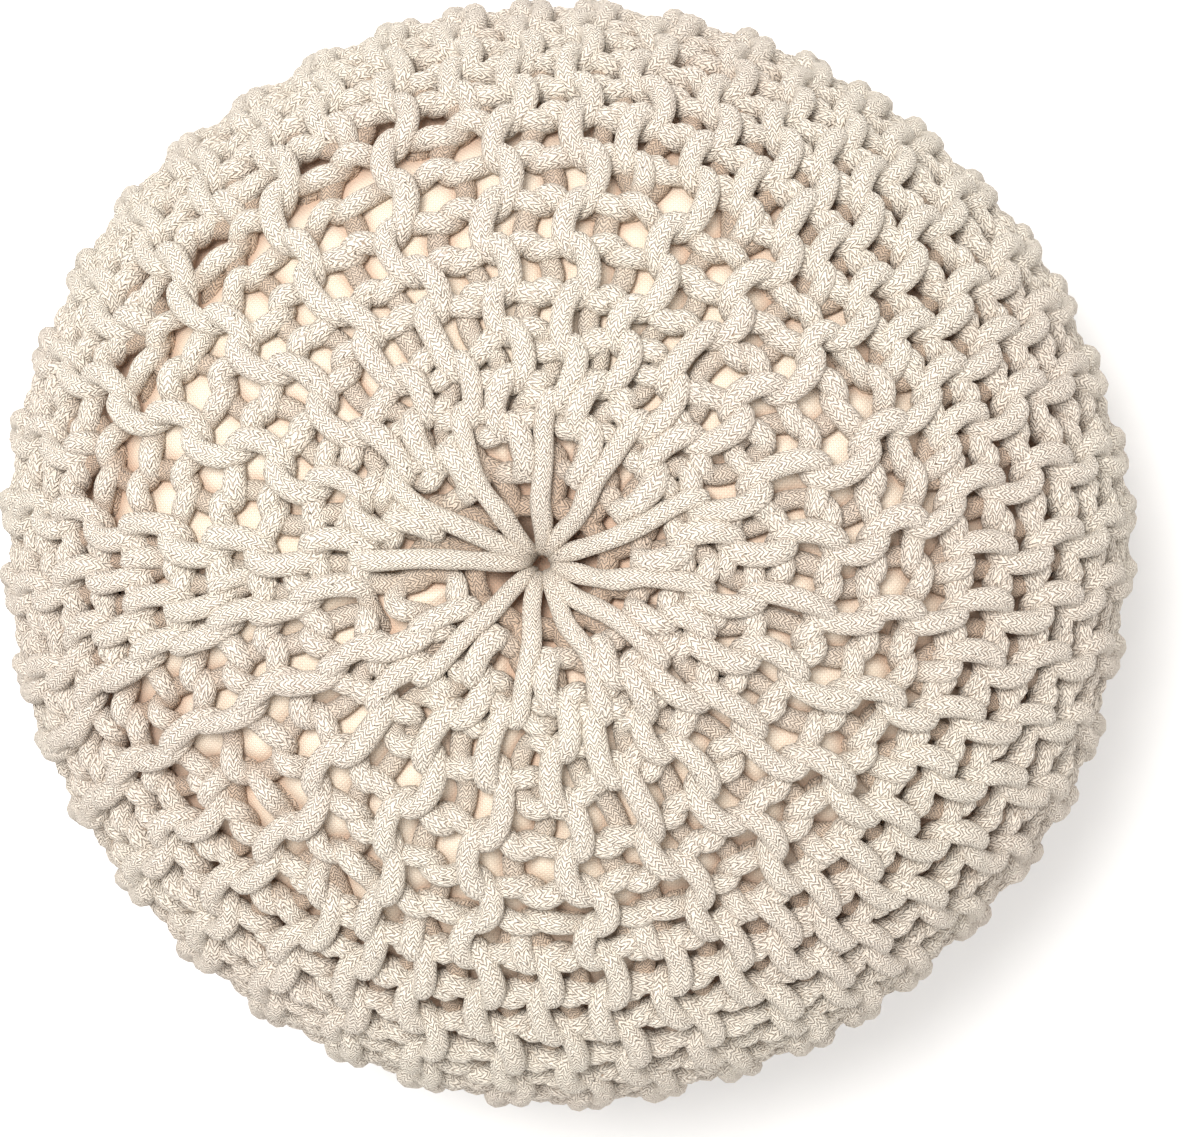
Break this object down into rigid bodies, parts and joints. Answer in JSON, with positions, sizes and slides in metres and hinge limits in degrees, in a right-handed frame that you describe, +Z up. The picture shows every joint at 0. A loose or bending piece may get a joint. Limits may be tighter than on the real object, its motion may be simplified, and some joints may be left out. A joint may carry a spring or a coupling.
{
  "type": "knitted pouf",
  "caption": "Round knitted pouf: chunky ribbed rope cover, gathered at the top and the base over a filled inner bag, used as a footstool or low seat.",
  "frame": {"origin": "on the floor, under the middle of the pouf's outline", "axes": "+Z up from the floor through the gathers; +X to the right and +Y to the top of a view from above"},
  "size_m": [0.4992, 0.488, 0.3302],
  "materials": {
    "rope": "natural braided cotton rope, matt",
    "bag_cloth": "plain-woven cotton, matt"
  },
  "bodies": {
    "root": {"knitted_cover": "rope", "inner_bag": "bag_cloth"}
  },
  "joints": []
}
